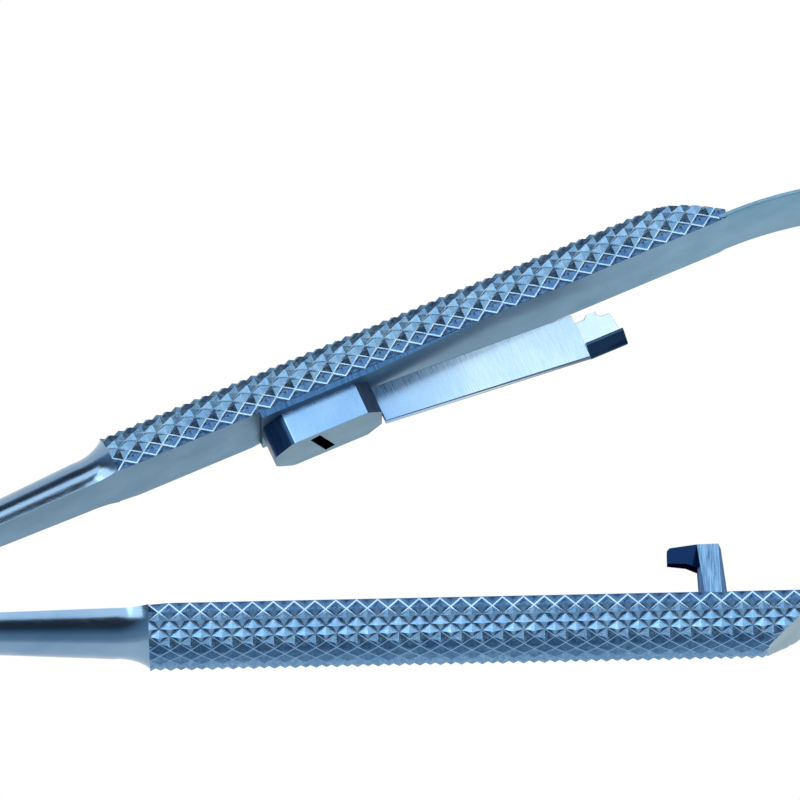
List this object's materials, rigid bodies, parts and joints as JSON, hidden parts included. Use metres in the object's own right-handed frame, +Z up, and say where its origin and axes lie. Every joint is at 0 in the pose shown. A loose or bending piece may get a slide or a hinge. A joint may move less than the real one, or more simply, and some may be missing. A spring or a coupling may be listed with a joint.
{
  "type": "surgical needle holder",
  "caption": "Spring-handled needle holder for fine surgery: half-round knurled grips on a lap pivot, a catch lever and hook between them, and a riveted spring butt.",
  "frame": {"origin": "on the surface the instrument lies on, midway along its length and on its centre line", "axes": "+X from the jaws to the butt, +Y towards the arm with the catch lever, +Z up along the pivot"},
  "size_m": [0.1434, 0.0374, 0.008],
  "materials": {
    "arm_titanium": "blue anodised titanium, satin with a knurled grip",
    "catch_titanium": "blue anodised titanium, cross-brushed",
    "screw_titanium": "blue anodised titanium, turned"
  },
  "bodies": {
    "hook_arm": {"hook_arm": "arm_titanium", "hook_post": "catch_titanium", "pivot_screw": "screw_titanium", "hook_side_leaf": "arm_titanium", "butt_rivet": "screw_titanium"},
    "lock_arm": {"lock_arm": "arm_titanium", "catch_block": "catch_titanium", "lock_side_leaf": "arm_titanium"},
    "catch_lever": {"catch_lever": "catch_titanium"}
  },
  "joints": [
    {"name": "handle_pivot", "type": "hinge", "parent": "hook_arm", "child": "lock_arm", "pos_m": [-0.05688, 0, 0.004], "axis": [0, 0, 1], "range_deg": [-17, 0], "stiffness_Nm_per_rad": 0.6, "deforming": ["lock_side_leaf", "hook_side_leaf"]},
    {"name": "lever_flex", "type": "hinge", "parent": "lock_arm", "child": "catch_lever", "pos_m": [-0.00821, 0.00748, 0.004], "axis": [0.1959, -0.9806, 0], "range_deg": [0, 1.4], "stiffness_Nm_per_rad": 0.3}
  ]
}
